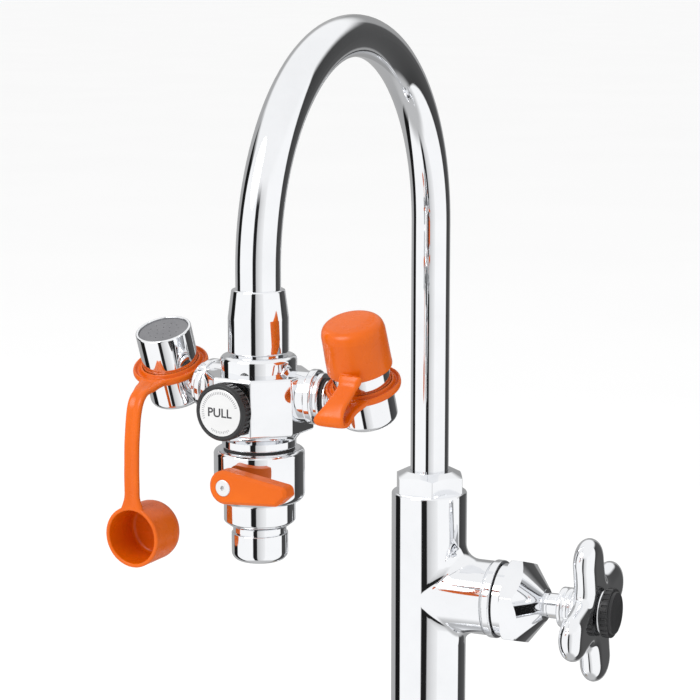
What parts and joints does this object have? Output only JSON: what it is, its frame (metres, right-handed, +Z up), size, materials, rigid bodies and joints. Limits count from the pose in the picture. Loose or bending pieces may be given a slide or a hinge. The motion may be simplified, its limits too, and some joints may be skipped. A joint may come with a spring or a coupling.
{
  "type": "faucet mounted eyewash",
  "caption": "Deck faucet with swinging gooseneck, side shut-off valve and a screw-on eyewash head with pull knob, capped eye nozzles and a lever tap outlet",
  "frame": {"origin": "on the column's axis at the counter top, under the base gasket", "axes": "+Z up along the column; -Y towards the user, the way the gooseneck reaches; +X along the shut-off valve's branch"},
  "size_m": [0.1452, 0.2311, 0.422],
  "materials": {
    "chrome": "polished chrome plate on brass",
    "brass": "machined",
    "steel": "fine turned",
    "orange_rubber": "smooth glossy moulded rubber",
    "orange_plastic": "satin gloss",
    "seal_rubber": "matte",
    "black_plastic": "semi gloss",
    "white_disc": "satin",
    "grey_plastic": "matte",
    "white_plastic": "matte"
  },
  "bodies": {
    "faucet": {"base_flange": "chrome", "deck_gasket": "seal_rubber", "mounting_shank": "brass", "deck_washer": "steel", "deck_locknut": "brass", "column_body": "chrome", "valve_seat": "brass", "bonnet_washer": "seal_rubber", "bonnet": "chrome", "stem_packing": "seal_rubber", "gooseneck_nut": "chrome", "slip_washer": "white_plastic"},
    "gooseneck": {"swivel_collar": "brass", "swivel_orings": "seal_rubber", "gooseneck_tube": "chrome", "outlet_adaptor": "chrome", "adaptor_gasket": "seal_rubber", "eyewash_body": "chrome", "diverter_bushing": "brass", "arm_seals": "seal_rubber", "left_arm": "chrome", "right_arm": "chrome", "left_nozzle": "chrome", "right_nozzle": "chrome", "left_spray_insert": "grey_plastic", "right_spray_insert": "grey_plastic", "left_cap_ring": "orange_rubber", "right_cap_ring": "orange_rubber", "right_strap": "orange_rubber", "housing_gasket": "seal_rubber", "valve_housing": "chrome", "ball_seats": "white_plastic", "outlet_collar": "chrome", "aerator_shell": "chrome", "aerator_screen": "white_plastic", "aerator_washer": "seal_rubber"},
    "diverter": {"diverter_stem": "brass", "diverter_orings": "seal_rubber", "pull_knob": "black_plastic", "knob_disc": "white_disc"},
    "tap_lever": {"valve_ball": "steel", "lever_spindle": "brass", "lever": "orange_plastic", "lever_screw": "steel"},
    "valve_disc": {"disc_holder": "brass", "seat_washer": "seal_rubber", "washer_screw": "steel"},
    "handle": {"valve_stem": "chrome", "cross_handle": "chrome", "handle_screw": "steel", "index_button": "black_plastic"},
    "right_dust_cap": {"right_cap": "orange_rubber"},
    "left_dust_cap": {"left_strap": "orange_rubber", "left_cap": "orange_rubber"}
  },
  "joints": [
    {"name": "gooseneck_swing", "type": "hinge", "parent": "faucet", "child": "gooseneck", "pos_m": [0, 0, 0.146], "axis": [0, 0, 1], "continuous": true},
    {"name": "valve_disc_rise", "type": "slide", "parent": "faucet", "child": "valve_disc", "axis": [1, 0, 0], "range_m": [0, 0.0045]},
    {"name": "handle_turn", "type": "hinge", "parent": "valve_disc", "child": "handle", "pos_m": [0.0726, 0, 0.0995], "axis": [1, 0, 0], "range_deg": [0, 540]},
    {"name": "knob_pull", "type": "slide", "parent": "gooseneck", "child": "diverter", "axis": [-0.0872, -0.9962, 0], "range_m": [0, 0.008]},
    {"name": "lever_turn", "type": "hinge", "parent": "gooseneck", "child": "tap_lever", "pos_m": [-0.00226, -0.1948, 0.1893], "axis": [0.0872, 0.9962, 0], "range_deg": [0, 90]},
    {"name": "right_cap_lift", "type": "slide", "parent": "gooseneck", "child": "right_dust_cap", "axis": [-0.0298, -0.3407, 0.9397], "range_m": [0, 0.022]},
    {"name": "left_cap_swing", "type": "hinge", "parent": "gooseneck", "child": "left_dust_cap", "pos_m": [-0.04349, -0.17734, 0.22074], "axis": [0.9962, -0.0872, 0], "range_deg": [-75, 12]}
  ],
  "couplings": [
    {"joint": "valve_disc_rise", "follows": "handle_turn", "m_per_rad": 0.00047746}
  ]
}
